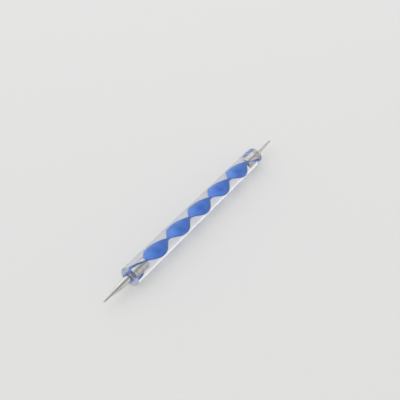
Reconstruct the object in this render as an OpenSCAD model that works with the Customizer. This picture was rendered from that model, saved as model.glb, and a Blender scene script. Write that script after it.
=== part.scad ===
// Double-ended ball stylus for embossing and dotting, lying on its round handle.
// X runs along the tool, from the fine end (-X) to the bold end (+X), and Z is up.
// The origin is on the surface it lies on, below the middle of the tool. Millimetres.

/* [Handle] */
// Diameter of the clear rod
handle_d = 8; // [7:0.5:12]
// Length of the clear rod, face to face
handle_len = 94.4; // [70:0.2:120]
// Rounding of the rod's end edges
edge_r = 0.3; // [0.3:0.1:1.4]

/* [Ribbon] */
// Width of the coloured strip cast into the rod
ribbon_w = 3.8; // [3.5:0.1:5.2]
// Thickness of the strip
ribbon_t = 0.3; // [0.2:0.05:0.6]
// Length along the rod in which the strip turns once
ribbon_pitch = 31; // [20:0.2:60]
// Tilt of the strip from level at the middle of the rod
ribbon_tilt = 35; // [-90:1:90]

/* [Pins] */
// How far each tip stands out of the rod, to the end of its ball
tip_reach = 15.1; // [13:0.1:18]
// Diameter of each pin's shank, which is also the wide end of its cone
shank_d = 2.8; // [2.2:0.1:3.2]
// Length of the shank glued into the rod
shank_len = 8.8; // [6:0.1:14]
// Bevel on the inner end of the shank
shank_bevel = 0.3; // [0.1:0.05:0.5]

/* [Fine tip] */
// Diameter of the fine ball
fine_ball_d = 0.8; // [0.8:0.1:1.2]
// Diameter of the neck where the fine ball sits
fine_neck_d = 0.6; // [0.4:0.05:0.7]
// Length of the neck, to the middle of the fine ball
fine_neck_len = 3; // [2:0.1:6]
// Diameter where the cone meets the fine neck
fine_shoulder_d = 0.8; // [0.7:0.05:1.8]
// How far the shank goes on at full thickness outside the rod
fine_straight = 5; // [0:0.1:6]

/* [Bold tip] */
// Diameter of the bold ball
bold_ball_d = 1; // [0.9:0.1:2]
// Diameter of the neck where the bold ball sits
bold_neck_d = 0.65; // [0.4:0.05:0.8]
// Length of the neck, to the middle of the bold ball
bold_neck_len = 5.2; // [2:0.1:6]
// Diameter where the cone meets the bold neck
bold_shoulder_d = 1.45; // [0.8:0.05:1.8]
// How far the shank goes on at full thickness outside the rod
bold_straight = 0.5; // [0:0.1:6]

/* [Glue] */
// Thickness of the adhesive round each shank
glue_t = 0.1; // [0.05:0.05:0.2]
// Depth of adhesive behind each shank, before the drill point
glue_pocket = 0.4; // [0.2:0.1:1]
// How far the adhesive stays back from the rod's end face
glue_recess = 0.1; // [0.05:0.05:0.3]

/* [Hidden] */
$fn = 72;

handle_r = handle_d / 2;
shank_r = shank_d / 2;
bore_r = shank_r + glue_t;
bore_depth = shank_len + glue_pocket;
drill_angle = 118; // full angle of the drill's point

seat_gap = 0.01;  // clearance left between two pieces that are bonded together
overcut = 1;      // how far a cutting shape runs past the face it cuts
edge_steps = 10;  // flats in each rounded edge

slice_angle = 6;  // turn of the strip in one slice
ribbon_rate = 360 / ribbon_pitch;
ribbon_slices = 2 * ceil((handle_len / 2 + overcut) * ribbon_rate / slice_angle);
ribbon_run = ribbon_slices * slice_angle / ribbon_rate;

// Distance from a ball's middle to the flat where its neck is welded on
function weld_depth(ball_d, neck_d) = sqrt(pow(ball_d / 2, 2) - pow(neck_d / 2, 2));

function arc(middle, r, from, to) = [
  for (i = [0:edge_steps])
    let (a = from + (to - from) * i / edge_steps)
    middle + r * [cos(a), sin(a)]
];

// Turns a shape's +Z to +X and lifts it to the tool's centre line
module along() {
  translate([0, 0, handle_r]) rotate([90, 0, 90]) children();
}

// Puts shapes at a face of the rod, with +Z pointing out of it
module at_fine_end() {
  along() translate([0, 0, -handle_len / 2]) rotate([180, 0, 0]) children();
}

module at_bold_end() {
  along() translate([0, 0, handle_len / 2]) children();
}

module rod_blank() {
  corner = [handle_r - edge_r, handle_len / 2 - edge_r];
  rotate_extrude() polygon(concat(
    [[0, -handle_len / 2]],
    arc([corner.x, -corner.y], edge_r, -90, 0),
    arc([corner.x, corner.y], edge_r, 0, 90),
    [[0, handle_len / 2]]
  ));
}

// The strip's twisted shape, grown on every side, and longer than the rod
module strip(grow) {
  turned = ribbon_run * ribbon_rate;
  rotate(ribbon_tilt - turned / 2)
    translate([0, 0, -ribbon_run / 2])
    linear_extrude(height = ribbon_run, twist = -turned, slices = ribbon_slices, $fn = 4)
    square([ribbon_w + 2 * grow, ribbon_t + 2 * grow], center = true);
}

// A drilled bore from an end face inwards, with the drill's point at its bottom
module bore(shrink, above) {
  r = bore_r - shrink;
  point = r / tan(drill_angle / 2);
  rotate_extrude() polygon([
    [0, -bore_depth - point + shrink],
    [r, -bore_depth + shrink],
    [r, above],
    [0, above]
  ]);
}

module both_bores() {
  at_fine_end() bore(0, overcut);
  at_bold_end() bore(0, overcut);
}

// Shank, cone and neck, turned in one piece from steel rod
module pin(ball_d, neck_d, neck_len, shoulder_d, straight) {
  ball_z = tip_reach - ball_d / 2;
  weld_z = ball_z - weld_depth(ball_d, neck_d);
  rotate_extrude() polygon([
    [0, -shank_len],
    [shank_r - shank_bevel, -shank_len],
    [shank_r, -shank_len + shank_bevel],
    [shank_r, straight],
    [shoulder_d / 2, ball_z - neck_len],
    [neck_d / 2, weld_z],
    [0, weld_z]
  ]);
}

// A bearing ball, ground flat where the neck is welded to it
module ball(ball_d, neck_d) {
  translate([0, 0, tip_reach - ball_d / 2]) difference() {
    sphere(d = ball_d);
    translate([0, 0, -weld_depth(ball_d, neck_d) - ball_d])
      cylinder(h = ball_d, r = ball_d);
  }
}

// Adhesive in the space between a shank and its bore
module glue() {
  difference() {
    bore(seat_gap, -glue_recess);
    translate([0, 0, -shank_len - seat_gap])
      cylinder(h = shank_len + overcut, r = shank_r + seat_gap);
  }
}

module handle_rod() {
  color([0.9, 0.95, 0.98, 0.35]) difference() {
    along() rod_blank();
    along() strip(seat_gap);
    both_bores();
  }
}

module colour_ribbon() {
  color([0.18, 0.38, 0.8]) difference() {
    along() intersection() {
      rod_blank();
      strip(0);
    }
    both_bores();
  }
}

module fine_pin() {
  color("silver") at_fine_end()
    pin(fine_ball_d, fine_neck_d, fine_neck_len, fine_shoulder_d, fine_straight);
}

module fine_ball() {
  color("gainsboro") at_fine_end() ball(fine_ball_d, fine_neck_d);
}

module fine_glue() {
  color([0.9, 0.9, 0.8, 0.6]) at_fine_end() glue();
}

module bold_pin() {
  color("silver") at_bold_end()
    pin(bold_ball_d, bold_neck_d, bold_neck_len, bold_shoulder_d, bold_straight);
}

module bold_ball() {
  color("gainsboro") at_bold_end() ball(bold_ball_d, bold_neck_d);
}

module bold_glue() {
  color([0.9, 0.9, 0.8, 0.6]) at_bold_end() glue();
}

handle_rod();
colour_ribbon();
fine_pin();
fine_ball();
fine_glue();
bold_pin();
bold_ball();
bold_glue();
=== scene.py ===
import math

import bmesh
import bpy
from mathutils import Matrix, Vector


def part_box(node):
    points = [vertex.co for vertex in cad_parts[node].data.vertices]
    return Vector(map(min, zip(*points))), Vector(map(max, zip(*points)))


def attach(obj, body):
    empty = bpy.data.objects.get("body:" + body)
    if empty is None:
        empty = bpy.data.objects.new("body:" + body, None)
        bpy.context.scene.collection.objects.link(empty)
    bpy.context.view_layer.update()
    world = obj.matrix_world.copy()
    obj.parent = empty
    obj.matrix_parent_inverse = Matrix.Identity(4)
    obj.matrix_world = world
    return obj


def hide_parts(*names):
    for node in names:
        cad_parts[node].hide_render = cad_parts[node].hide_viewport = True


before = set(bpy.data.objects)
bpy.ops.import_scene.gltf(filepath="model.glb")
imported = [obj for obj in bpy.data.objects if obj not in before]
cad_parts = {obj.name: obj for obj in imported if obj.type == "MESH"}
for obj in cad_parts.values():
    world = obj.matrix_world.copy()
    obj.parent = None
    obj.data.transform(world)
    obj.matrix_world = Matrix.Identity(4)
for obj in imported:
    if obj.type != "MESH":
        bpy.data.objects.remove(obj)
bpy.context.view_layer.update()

mm = 0.001

# the rod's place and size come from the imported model
rodLow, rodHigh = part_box("handle_rod")
rodRadius = (rodHigh.z - rodLow.z) / 2
axisHeight = (rodHigh.z + rodLow.z) / 2
tipNames = {"fine": -1, "bold": 1}  # each tip's side of the rod along X


def faceOf(side):
    return rodLow.x if side < 0 else rodHigh.x


# helpers


def addNode(tree, kind, inputs=None, **settings):
    node = tree.nodes.new(kind)
    for name, value in settings.items():
        setattr(node, name, value)
    for name, value in (inputs or {}).items():
        node.inputs[name].default_value = value
    return node


def emptyMaterial(name):
    material = bpy.data.materials.new(name)
    material.use_nodes = True
    tree = material.node_tree
    tree.nodes.clear()
    output = addNode(tree, "ShaderNodeOutputMaterial")
    shader = addNode(tree, "ShaderNodeBsdfPrincipled")
    tree.links.new(shader.outputs["BSDF"], output.inputs["Surface"])
    return material, tree, shader


def finishPiece(bm, name, material, replaced):
    bmesh.ops.recalc_face_normals(bm, faces=bm.faces)
    mesh = bpy.data.meshes.new(name)
    bm.to_mesh(mesh)
    bm.free()
    mesh.polygons.foreach_set("use_smooth", [True] * len(mesh.polygons))
    piece = bpy.data.objects.new(name, mesh)
    bpy.context.scene.collection.objects.link(piece)
    piece.data.materials.append(material)
    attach(piece, "root")
    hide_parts(replaced)
    return piece


# profile is a list of (x, radius), turned about the tool's centre line
def lathe(profile, segments):
    bm = bmesh.new()
    rings = []
    for x, radius in profile:
        if radius <= 0:
            rings.append([bm.verts.new((x, 0, axisHeight))])
            continue
        ring = []
        for k in range(segments):
            a = 2 * math.pi * k / segments
            ring.append(bm.verts.new((x, radius * math.cos(a), axisHeight + radius * math.sin(a))))
        rings.append(ring)
    for here, there in zip(rings, rings[1:]):
        for k in range(segments):
            n = (k + 1) % segments
            corners = [ring[i % len(ring)] for ring, i in ((here, k), (here, n), (there, n), (there, k))]
            unique = list(dict.fromkeys(corners))
            if len(unique) > 2:
                bm.faces.new(unique)
    return bm


def roundCorner(x, radius, r, start, stop, steps):
    points = []
    for i in range(steps + 1):
        a = math.radians(start + (stop - start) * i / steps)
        points.append((x + r * math.cos(a), radius + r * math.sin(a)))
    return points


# the strip's sizes, used by its material and by its mesh
ribbonSet = {
    "width": 3.8,        # mm
    "thick": 0.3,        # mm
    "pitch": 31.0,       # mm along the rod for one turn, right-handed
    "tiltAtMiddle": 35,  # degrees from level
    "boreRadius": 1.5,   # mm, drilled through the ribbon's ends
    "drillAngle": 118,
    "shyOfFace": 0.06,   # mm, its ends stay inside the rod's polished faces
    "stepAlong": 0.25,   # mm
    "stepsAcross": 8,
    "weldWithin": 0.0001,  # mm, corners this close become one
}

# materials

print("materials")


# every pattern below is worked out from the piece's own place in the tool, in metres,
# and its scale is about how many of its spots fit in a metre along the tool and across it
def placed(tree, scale, turn=(0, 0, 0)):
    place = addNode(tree, "ShaderNodeTexCoord")
    mapping = addNode(tree, "ShaderNodeMapping", {"Scale": scale, "Rotation": turn})
    tree.links.new(place.outputs["Object"], mapping.inputs["Vector"])
    return mapping.outputs["Vector"]


# distance along the tool from its middle
def fromMiddle(tree):
    split = addNode(tree, "ShaderNodeSeparateXYZ")
    tree.links.new(placed(tree, (1, 1, 1)), split.inputs["Vector"])
    return combine(tree, "ABSOLUTE", split.outputs["X"], 0.0)


def noiseAt(tree, vector, detail=3, rough=0.55):
    noise = addNode(tree, "ShaderNodeTexNoise", {"Scale": 1.0, "Detail": detail, "Roughness": rough})
    tree.links.new(vector, noise.inputs["Vector"])
    return noise.outputs["Fac"]


def spread(tree, value, low, high, fromLow=0.3, fromHigh=0.7):
    limits = {"From Min": fromLow, "From Max": fromHigh, "To Min": low, "To Max": high}
    remap = addNode(tree, "ShaderNodeMapRange", limits)
    tree.links.new(value, remap.inputs["Value"])
    return remap.outputs["Result"]


def combine(tree, operation, first, second):
    node = addNode(tree, "ShaderNodeMath", operation=operation)
    for socket, value in zip(node.inputs, (first, second)):
        if isinstance(value, (int, float)):
            socket.default_value = value
        else:
            tree.links.new(value, socket)
    return node.outputs["Value"]


# two patterns added up, each with its own share
def weigh(tree, first, firstShare, second, secondShare):
    part = combine(tree, "MULTIPLY", first, firstShare)
    other = combine(tree, "MULTIPLY", second, secondShare)
    return combine(tree, "ADD", part, other)


# the colour sockets of a mix node can only be told apart by their numbers
def blend(tree, amount, first, second):
    mix = addNode(tree, "ShaderNodeMix", data_type="RGBA")
    tree.links.new(amount, mix.inputs[0])
    for socket, value in zip((mix.inputs[6], mix.inputs[7]), (first, second)):
        if isinstance(value, tuple):
            socket.default_value = value + (1,)
        else:
            tree.links.new(value, socket)
    return mix.outputs[2]


def dent(tree, shader, height, depth):
    bump = addNode(tree, "ShaderNodeBump", {"Strength": 1.0, "Distance": depth * mm})
    tree.links.new(height, bump.inputs["Height"])
    tree.links.new(bump.outputs["Normal"], shader.inputs["Normal"])


acrylicSet = {
    "tint": (0.99, 0.995, 1.0),
    "deepTint": (0.8, 0.85, 0.99),  # what a long way through the rod does to white
    "tintDensity": 10,
    "index": 1.49,
    "polished": 0.1,       # roughness where it is clean
    "handled": 0.22,       # roughness where fingers have dulled it
    "faced": 0.35,         # roughness of the sawn and faced ends
    "facedDepth": (0.05, 0.3),  # mm from the end, where that haze is full and where it stops
    "patchScale": (110, 260, 260),
    "patchRange": (0.45, 0.75),  # of the pattern, from clean to dulled
    "hairScale": (160, 2600, 2600),
    "hairTurn": (0.3, 0.5, 0.2),
    "hairRange": (0.66, 0.72),   # only its peaks are scratches
    "scratchDepth": 0.0006,  # mm
    "drawScale": (12, 1500, 1500),
    "drawDepth": 0.0004,     # mm, faint lines left along the rod when it was drawn
}


def clearAcrylic():
    s = acrylicSet
    material, tree, shader = emptyMaterial("clearAcrylic")
    shader.inputs["Base Color"].default_value = s["tint"] + (1,)
    shader.inputs["Transmission Weight"].default_value = 1.0
    shader.inputs["IOR"].default_value = s["index"]
    patches = noiseAt(tree, placed(tree, s["patchScale"]), 4)
    worn = spread(tree, patches, s["polished"], s["handled"], *s["patchRange"])
    full, last = s["facedDepth"]
    hazeStart, hazeFull = rodHigh.x - last * mm, rodHigh.x - full * mm
    atFace = spread(tree, fromMiddle(tree), 0.0, s["faced"], hazeStart, hazeFull)
    tree.links.new(combine(tree, "MAXIMUM", worn, atFace), shader.inputs["Roughness"])
    hairs = noiseAt(tree, placed(tree, s["hairScale"], s["hairTurn"]), 2)
    scratches = spread(tree, hairs, 0.0, 1.0, *s["hairRange"])
    lines = noiseAt(tree, placed(tree, s["drawScale"]), 3)
    drawn = combine(tree, "MULTIPLY", lines, s["drawDepth"] / s["scratchDepth"])
    dent(tree, shader, combine(tree, "SUBTRACT", drawn, scratches), s["scratchDepth"])
    depth = {"Color": s["deepTint"] + (1,), "Density": s["tintDensity"]}
    depthTint = addNode(tree, "ShaderNodeVolumeAbsorption", depth)
    output = next(node for node in tree.nodes if node.type == "OUTPUT_MATERIAL")
    tree.links.new(depthTint.outputs["Volume"], output.inputs["Volume"])
    return material


ribbonLook = {
    "deep": (0.035, 0.24, 0.98),
    "pale": (0.09, 0.36, 1.0),
    "pearl": 0.25,         # how much of it shines like metal
    "seeThrough": 0.2,     # how much light passes the thin strip
    "sheen": 0.9,          # strength of its white shine
    "satin": 0.3,
    "rough": 0.45,
    "streakScale": (90, 2600, 300),
    "streakDepth": 0.004,  # mm
    "cloudScale": (130, 420, 300),
    "cloudShare": 0.4,     # of its change from deep to pale, the rest is streaks
    "shadeRange": (0.4, 0.62),
    "flakeScale": (14000, 14000, 14000),
    "flakeDepth": 0.2,     # as a part of the streaks' depth
}


# the strip's own coordinates: along the rod, across the strip and through it
def untwisted(tree, scale):
    place = addNode(tree, "ShaderNodeTexCoord")
    split = addNode(tree, "ShaderNodeSeparateXYZ")
    tree.links.new(place.outputs["Object"], split.inputs["Vector"])
    turns = combine(tree, "MULTIPLY", split.outputs["X"], -2 * math.pi / (ribbonSet["pitch"] * mm))
    angle = combine(tree, "SUBTRACT", turns, math.radians(ribbonSet["tiltAtMiddle"]))
    onAxis = {"Center": (0, 0, axisHeight)}
    back = addNode(tree, "ShaderNodeVectorRotate", onAxis, rotation_type="X_AXIS")
    tree.links.new(place.outputs["Object"], back.inputs["Vector"])
    tree.links.new(angle, back.inputs["Angle"])
    mapping = addNode(tree, "ShaderNodeMapping", {"Scale": scale})
    tree.links.new(back.outputs["Vector"], mapping.inputs["Vector"])
    return mapping.outputs["Vector"]


def ribbonBlue():
    s = ribbonLook
    material, tree, shader = emptyMaterial("ribbonBlue")
    shader.inputs["Metallic"].default_value = s["pearl"]
    shader.inputs["Transmission Weight"].default_value = s["seeThrough"]
    shader.inputs["Specular IOR Level"].default_value = s["sheen"]
    streaks = noiseAt(tree, untwisted(tree, s["streakScale"]), 4, 0.6)
    clouds = noiseAt(tree, untwisted(tree, s["cloudScale"]), 3)
    mottle = weigh(tree, streaks, 1 - s["cloudShare"], clouds, s["cloudShare"])
    shade = spread(tree, mottle, 0.0, 1.0, *s["shadeRange"])
    tree.links.new(blend(tree, shade, s["deep"], s["pale"]), shader.inputs["Base Color"])
    flakes = noiseAt(tree, placed(tree, s["flakeScale"]), 1)
    gloss = spread(tree, weigh(tree, streaks, 0.5, flakes, 0.5), s["satin"], s["rough"])
    tree.links.new(gloss, shader.inputs["Roughness"])
    relief = combine(tree, "ADD", streaks, combine(tree, "MULTIPLY", flakes, s["flakeDepth"]))
    dent(tree, shader, relief, s["streakDepth"])
    return material


steelSet = {
    "bright": (0.72, 0.70, 0.67),
    "dull": (0.60, 0.58, 0.55),
    "darkerAtEnds": (0.41, 0.4, 0.375),  # darker grey towards each ball at the tool's ends
    "darkerReach": 9,          # mm from the ball's end
    "smooth": 0.08,
    "rough": 0.2,
    "turningPitch": 0.11,    # mm between turning marks
    "turningDepth": 0.0003,  # mm
    "waveLength": 0.314,     # of the wave pattern itself, at a scale of 1
    "turningWander": 60,     # how unevenly a mark runs round the pin
    "unevenScale": (9000, 90, 90),
    "stainScale": (420, 700, 700),
    "stainRange": (0.35, 0.7),
}


def turnedSteel():
    s = steelSet
    material, tree, shader = emptyMaterial("turnedSteel")
    shader.inputs["Metallic"].default_value = 1.0
    # rings round the tool's centre line, each a little uneven
    wobble = {"Scale": 1.0, "Distortion": 1.2, "Detail": 3.0, "Detail Scale": 2.0}
    rings = addNode(tree, "ShaderNodeTexWave", wobble, wave_type="BANDS", bands_direction="X")
    ringScale = s["waveLength"] / (s["turningPitch"] * mm)
    wander = s["turningWander"]
    tree.links.new(placed(tree, (ringScale, wander, wander)), rings.inputs["Vector"])
    uneven = noiseAt(tree, placed(tree, s["unevenScale"]), 4)
    stain = noiseAt(tree, placed(tree, s["stainScale"]), 4, 0.6)
    stained = spread(tree, stain, 0.0, 1.0, *s["stainRange"])
    plain = blend(tree, stained, s["bright"], s["dull"])
    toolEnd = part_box("bold_ball")[1].x
    # the steel's colour turns darker grey over its last stretch towards each ball
    towardsEnd = spread(tree, fromMiddle(tree), 0.0, 1.0, toolEnd - s["darkerReach"] * mm, toolEnd)
    tree.links.new(blend(tree, towardsEnd, plain, s["darkerAtEnds"]), shader.inputs["Base Color"])
    gloss = spread(tree, weigh(tree, uneven, 0.5, stain, 0.5), s["smooth"], s["rough"])
    tree.links.new(gloss, shader.inputs["Roughness"])
    dent(tree, shader, combine(tree, "ADD", rings.outputs["Fac"], uneven), s["turningDepth"])
    return material


ballLook = {
    "bright": (0.6, 0.59, 0.57),
    "worn": (0.44, 0.42, 0.4),
    "polished": 0.1,
    "rubbed": 0.3,
    "wearScale": (2600, 2600, 2600),
    "wearRange": (0.4, 0.65),  # of the pattern, from bright to worn
    "dullRange": (0.4, 0.7),   # the same, from polished to rubbed
    "rubScale": (4000, 22000, 22000),
    "rubTurn": (0.4, 0.3, 0.9),
    "rubDepth": 0.0006,  # mm
}


def polishedBall():
    s = ballLook
    material, tree, shader = emptyMaterial("polishedBall")
    shader.inputs["Metallic"].default_value = 1.0
    wear = noiseAt(tree, placed(tree, s["wearScale"]), 4, 0.6)
    worn = spread(tree, wear, 0.0, 1.0, *s["wearRange"])
    tree.links.new(blend(tree, worn, s["bright"], s["worn"]), shader.inputs["Base Color"])
    gloss = spread(tree, wear, s["polished"], s["rubbed"], *s["dullRange"])
    tree.links.new(gloss, shader.inputs["Roughness"])
    rub = noiseAt(tree, placed(tree, s["rubScale"], s["rubTurn"]), 2)
    dent(tree, shader, rub, s["rubDepth"])
    return material


glueLook = {
    "clear": (0.62, 0.66, 0.66),
    "milky": (0.86, 0.87, 0.82),
    "thinnest": 0.03,  # how solid it looks where it is clear
    "thickest": 0.12,
    "wet": 0.2,
    "dry": 0.5,
    "swirlScale": (900, 1300, 1300),
    "swirlRange": (0.42, 0.7),    # of the pattern, from clear to milky
    "bubbleScale": (3400, 3400, 3400),
    "bubbleRange": (0.05, 0.3),   # from a bubble's middle to where it ends
    "frothShare": 0.7,            # how milky the bubbles look
    "rippleDepth": 0.004,  # mm
}


def glueFilm():
    s = glueLook
    material, tree, shader = emptyMaterial("glueFilm")
    swirls = noiseAt(tree, placed(tree, s["swirlScale"]), 4, 0.6)
    bubbles = addNode(tree, "ShaderNodeTexVoronoi", {"Scale": 1.0})
    tree.links.new(placed(tree, s["bubbleScale"]), bubbles.inputs["Vector"])
    froth = spread(tree, bubbles.outputs["Distance"], 1.0, 0.0, *s["bubbleRange"])
    milk = spread(tree, swirls, 0.0, 1.0, *s["swirlRange"])
    cloud = combine(tree, "MAXIMUM", milk, combine(tree, "MULTIPLY", froth, s["frothShare"]))
    tree.links.new(blend(tree, cloud, s["clear"], s["milky"]), shader.inputs["Base Color"])
    tree.links.new(spread(tree, cloud, s["thinnest"], s["thickest"], 0.0, 1.0), shader.inputs["Alpha"])
    tree.links.new(spread(tree, swirls, s["wet"], s["dry"]), shader.inputs["Roughness"])
    dent(tree, shader, swirls, s["rippleDepth"])
    return material


acrylic = clearAcrylic()
blue = ribbonBlue()
steel = turnedSteel()
ballSteel = polishedBall()
glue = glueFilm()

# handle

print("handle rod")
handleSet = {
    "edgeRound": 0.3,     # mm, rounding of each end's edge
    "roundSteps": 14,
    "around": 192,        # flats round it, before smoothing
    "shyOfPin": 0.02,     # mm, the bore's wall lies this far inside the pin's surface
    "boreBevel": 0.4,     # mm, at the bottom of the bore
    "bottomShare": 0.8,   # the bottom's radius as a part of the bore's
    "faceRing": 0.04,     # mm inside the rounding, keeps the face's shading flat
    "sideRings": (0.05, 3),  # mm past the rounding and from the face, the same for the side
}


def makeHandle():
    s = handleSet
    e = s["edgeRound"] * mm
    profile = []
    for side in (-1, 1):
        face = faceOf(side)
        pinLow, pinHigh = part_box("fine_pin" if side < 0 else "bold_pin")
        shankEnd = pinHigh.x if side < 0 else pinLow.x
        bore = (pinHigh.z - pinLow.z) / 2 - s["shyOfPin"] * mm
        bottom = shankEnd + side * s["shyOfPin"] * mm
        bevelEnd = bottom + side * s["boreBevel"] * mm
        half = [(bottom, 0), (bottom, bore * s["bottomShare"]), (bevelEnd, bore), (face, bore)]
        flat = rodRadius - e
        half += [(face, (bore + flat) / 2), (face, flat - s["faceRing"] * mm)]
        arcStart, arcStop = (180, 90) if side < 0 else (0, 90)
        half += roundCorner(face - side * e, flat, e, arcStart, arcStop, s["roundSteps"])
        near, far = s["sideRings"]
        half += [(face - side * (e + near * mm), rodRadius), (face - side * far * mm, rodRadius)]
        profile += half if side < 0 else half[::-1]
    finishPiece(lathe(profile, s["around"]), "handleRod", acrylic, "handle_rod")


makeHandle()

# ribbon

print("twisted ribbon")


def makeRibbon():
    s = ribbonSet
    half = s["width"] / 2 * mm
    thick = s["thick"] / 2 * mm
    low = rodLow.x + s["shyOfFace"] * mm
    high = rodHigh.x - s["shyOfFace"] * mm
    boreRadius = s["boreRadius"] * mm
    shanks = {-1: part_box("fine_glue")[1].x, 1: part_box("bold_glue")[0].x}
    point = boreRadius / math.tan(math.radians(s["drillAngle"] / 2))

    def boreAt(x):
        radius = 0.0
        for side, tip in shanks.items():
            deep = (x - tip) * side
            radius = max(radius, min(boreRadius, boreRadius * deep / point))
        return max(radius, 0.0)

    count = round((high - low) / (s["stepAlong"] * mm))
    stations = [low + (high - low) * i / count for i in range(count + 1)]
    stations += [tip + side * point * k / 4 for side, tip in shanks.items() for k in range(5)]
    stations = sorted(set(stations))
    bm = bmesh.new()
    for sign in (-1, 1):
        rows = []
        for x in stations:
            angle = math.radians(s["tiltAtMiddle"]) + 2 * math.pi * x / (s["pitch"] * mm)
            wide = Vector((0, math.cos(angle), math.sin(angle)))
            up = Vector((0, -math.sin(angle), math.cos(angle)))
            middle = Vector((x, 0, axisHeight))
            inner = boreAt(x)
            step = (half - inner) / s["stepsAcross"]
            spots = [sign * (inner + step * j) for j in range(s["stepsAcross"] + 1)]
            top = [bm.verts.new(middle + wide * spot + up * thick) for spot in spots]
            under = [bm.verts.new(middle + wide * spot - up * thick) for spot in spots]
            rows.append((top, under, inner))
        for (topA, underA, innerA), (topB, underB, innerB) in zip(rows, rows[1:]):
            for j in range(s["stepsAcross"]):
                bm.faces.new((topA[j], topA[j + 1], topB[j + 1], topB[j]))
                bm.faces.new((underA[j + 1], underA[j], underB[j], underB[j + 1]))
            bm.faces.new((topA[-1], underA[-1], underB[-1], topB[-1]))
            if innerA > 0 or innerB > 0:
                bm.faces.new((underA[0], topA[0], topB[0], underB[0]))
        for top, under, inner in (rows[0], rows[-1]):
            for j in range(s["stepsAcross"]):
                bm.faces.new((top[j], under[j], under[j + 1], top[j + 1]))
    bmesh.ops.remove_doubles(bm, verts=bm.verts, dist=s["weldWithin"] * mm)
    finishPiece(bm, "twistedRibbon", blue, "colour_ribbon")


makeRibbon()

# steel tips

print("steel tips")
# mm; a neck's length runs to the middle of its ball
tipSet = {
    "fine": {"straight": 5.0, "shoulder": 0.8, "neck": 0.6, "neckLength": 3.0},
    "bold": {"straight": 0.5, "shoulder": 1.45, "neck": 0.65, "neckLength": 5.2},
    "bevel": 0.3,       # on the shank's inner end
    "ballSteps": 24,
    "around": 72,
    "sharpFrom": 25,    # degrees between faces, from which an edge stays sharp
}


def keepEdges(piece):
    piece.data.set_sharp_from_angle(angle=math.radians(tipSet["sharpFrom"]))


def makePin(name, side):
    s = tipSet[name]
    low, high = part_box(name + "_pin")
    inner, outer = (high.x, low.x) if side < 0 else (low.x, high.x)
    shank = (high.z - low.z) / 2
    ballLow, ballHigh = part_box(name + "_ball")
    ballRadius = (ballHigh.z - ballLow.z) / 2
    ballEnd = ballLow.x if side < 0 else ballHigh.x
    ballMiddle = ballEnd - side * ballRadius
    neck = s["neck"] / 2 * mm
    bevel = tipSet["bevel"] * mm
    coneEnd = ballMiddle - side * s["neckLength"] * mm
    profile = [
        (inner, 0),
        (inner, shank - bevel),
        (inner + side * bevel, shank),
        (faceOf(side) + side * s["straight"] * mm, shank),
        (coneEnd, s["shoulder"] / 2 * mm),
        (outer, neck),
        (outer, 0),
    ]
    turned = lathe(profile, tipSet["around"])
    keepEdges(finishPiece(turned, name + "Pin", steel, name + "_pin"))


def makeBall(name, side):
    low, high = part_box(name + "_ball")
    radius = (high.z - low.z) / 2
    end, flat = (low.x, high.x) if side < 0 else (high.x, low.x)
    middle = end - side * radius
    flatAngle = math.acos((flat - middle) / -side / radius)
    profile = [(flat, 0)]
    steps = tipSet["ballSteps"]
    for i in range(steps + 1):
        a = flatAngle + (math.pi - flatAngle) * i / steps
        profile.append((middle - side * radius * math.cos(a), radius * math.sin(a) if i < steps else 0))
    turned = lathe(profile, tipSet["around"])
    keepEdges(finishPiece(turned, name + "Ball", ballSteel, name + "_ball"))


for tipName, tipSide in tipNames.items():
    makePin(tipName, tipSide)
    makeBall(tipName, tipSide)

# glue

print("glue films")
glueSet = {
    "shyOfShank": 0.01,  # mm
    "around": 72,
}


def makeGlue(name, side):
    low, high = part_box(name + "_glue")
    pinLow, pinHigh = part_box(name + "_pin")
    mouth, tip = (low.x, high.x) if side < 0 else (high.x, low.x)
    outerRadius = (high.z - low.z) / 2
    innerRadius = (pinHigh.z - pinLow.z) / 2 + glueSet["shyOfShank"] * mm
    shankEnd = pinHigh.x if side < 0 else pinLow.x
    behindShank = shankEnd - side * glueSet["shyOfShank"] * mm
    point = outerRadius / math.tan(math.radians(ribbonSet["drillAngle"] / 2))
    profile = [
        (tip, 0),
        (tip + side * point, outerRadius),
        (mouth, outerRadius),
        (mouth, innerRadius),
        (behindShank, innerRadius),
        (behindShank, 0),
    ]
    film = lathe(profile, glueSet["around"])
    keepEdges(finishPiece(film, name + "Glue", glue, name + "_glue"))


for tipName, tipSide in tipNames.items():
    makeGlue(tipName, tipSide)

# table top, light and camera

print("table top, light and camera")
tableSet = {
    "reach": 3.0,        # m from its middle to each edge
    "colour": (0.835, 0.832, 0.822),
    "rough": 0.7,
    "shine": 0.2,
    "keptInShade": 0.4,  # the part of its brightness that no shadow takes away
    "roomLevel": 0.87,   # how bright a white table would look here
}
lightSet = {
    "skyColour": (0.985, 0.99, 1.0, 1),
    "skyLevel": 1.05,
    "skyDim": 0.42,                  # the darker side of the room
    "dimSide": (0.38, -0.48, 0.79),  # the way to it
    "dimFrom": 0.6,                  # cosine of the angle from it where it starts
    "lampEnergy": 0.7,
    "lampPlace": (0.36, 0.42, 0.55),
    "lampSize": (1.1, 0.9),
}
# fitted to the photo, for a tool with an 8 mm handle
cameraSet = {
    "lens": 63,
    "sensor": 36,
    "nearest": 0.005,
    "place": (-0.19193, -0.12104, 0.17940),
    "forward": (0.677207, 0.425151, -0.600531),
    "right": (0.531703, -0.846931, 0),
}
bounceSet = {"all": 48, "clear": 48, "shiny": 24}  # enough for light inside the rod


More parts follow.
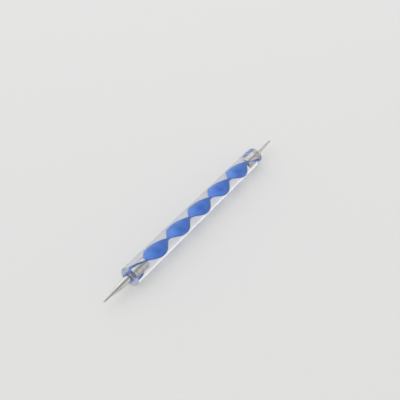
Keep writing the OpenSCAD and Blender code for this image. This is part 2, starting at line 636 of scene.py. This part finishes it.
def makeTable():
    s = tableSet
    corners = [(x * s["reach"], y * s["reach"], 0) for x, y in ((-1, -1), (1, -1), (1, 1), (-1, 1))]
    mesh = bpy.data.meshes.new("tableTop")
    mesh.from_pydata(corners, [], [(0, 1, 2, 3)])
    table = bpy.data.objects.new("tableTop", mesh)
    bpy.context.scene.collection.objects.link(table)
    material, tree, shader = emptyMaterial("paleTable")
    shaded = tuple(part * (1 - s["keptInShade"]) for part in s["colour"])
    shader.inputs["Base Color"].default_value = shaded + (1,)
    shader.inputs["Roughness"].default_value = s["rough"]
    shader.inputs["Specular IOR Level"].default_value = s["shine"]
    # seen straight, in metal or through the rod, the table keeps part of its brightness in the shade
    shader.inputs["Emission Color"].default_value = s["colour"] + (1,)
    rays = addNode(tree, "ShaderNodeLightPath")
    seen = rays.outputs["Is Camera Ray"]
    for kind in ("Is Glossy Ray", "Is Transmission Ray"):
        seen = combine(tree, "MAXIMUM", seen, rays.outputs[kind])
    glow = combine(tree, "MULTIPLY", seen, s["keptInShade"] * s["roomLevel"])
    tree.links.new(glow, shader.inputs["Emission Strength"])
    material.cycles.emission_sampling = "NONE"
    table.data.materials.append(material)


def makeLight():
    s = lightSet
    world = bpy.data.worlds.new("softRoom")
    bpy.context.scene.world = world
    world.use_nodes = True
    tree = world.node_tree
    sky = tree.nodes["Background"]
    sky.inputs["Color"].default_value = s["skyColour"]
    place = addNode(tree, "ShaderNodeTexCoord")
    towards = addNode(tree, "ShaderNodeVectorMath", operation="DOT_PRODUCT")
    towards.inputs[1].default_value = Vector(s["dimSide"]).normalized()
    tree.links.new(place.outputs["Generated"], towards.inputs[0])
    limits = {"From Min": s["dimFrom"], "From Max": 1.0, "To Min": s["skyLevel"], "To Max": s["skyDim"]}
    ramp = addNode(tree, "ShaderNodeMapRange", limits, interpolation_type="SMOOTHSTEP")
    tree.links.new(towards.outputs["Value"], ramp.inputs["Value"])
    tree.links.new(ramp.outputs["Result"], sky.inputs["Strength"])
    lamp = bpy.data.lights.new("windowLight", "AREA")
    lamp.shape = "RECTANGLE"
    lamp.size, lamp.size_y = s["lampSize"]
    lamp.energy = s["lampEnergy"]
    key = bpy.data.objects.new("windowLight", lamp)
    key.location = s["lampPlace"]
    key.rotation_euler = (Vector((0, 0, 0)) - key.location).to_track_quat("-Z", "Y").to_euler()
    bpy.context.scene.collection.objects.link(key)


def makeCamera():
    s = cameraSet
    data = bpy.data.cameras.new("photoCamera")
    data.lens = s["lens"]
    data.sensor_width = s["sensor"]
    data.clip_start = s["nearest"]
    camera = bpy.data.objects.new("photoCamera", data)
    forward = Vector(s["forward"]).normalized()
    right = Vector(s["right"]).normalized()
    up = right.cross(forward)
    basis = Matrix((right, up, -forward)).transposed()
    camera.matrix_world = Matrix.Translation(Vector(s["place"])) @ basis.to_4x4()
    bpy.context.scene.collection.objects.link(camera)
    bpy.context.scene.camera = camera


makeTable()
makeLight()
makeCamera()
bpy.context.scene.view_settings.view_transform = "Standard"
bpy.context.scene.cycles.max_bounces = bounceSet["all"]
bpy.context.scene.cycles.transmission_bounces = bounceSet["clear"]
bpy.context.scene.cycles.glossy_bounces = bounceSet["shiny"]
